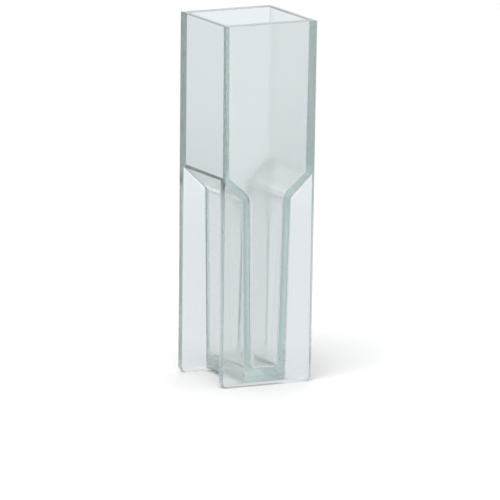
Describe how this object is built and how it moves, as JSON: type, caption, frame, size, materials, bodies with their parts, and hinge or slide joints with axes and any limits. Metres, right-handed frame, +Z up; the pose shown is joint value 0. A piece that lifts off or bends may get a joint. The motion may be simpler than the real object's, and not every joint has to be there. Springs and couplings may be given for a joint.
{
  "type": "semi-micro cuvette",
  "caption": "Tall square clear cell, open at the top, with two flat windows and a wide chamber that narrows over sloping shoulders to a slim channel.",
  "frame": {"origin": "middle of the base, on the surface that the window walls stand on", "axes": "+Z up towards the mouth, +Y along the light path through the two windows, +X across the cell towards a recessed side"},
  "size_m": [0.0124, 0.0124, 0.045],
  "materials": {
    "clear_plastic": "clear, polished, faintly grey-green"
  },
  "bodies": {
    "root": {"cuvette": "clear_plastic"}
  },
  "joints": []
}
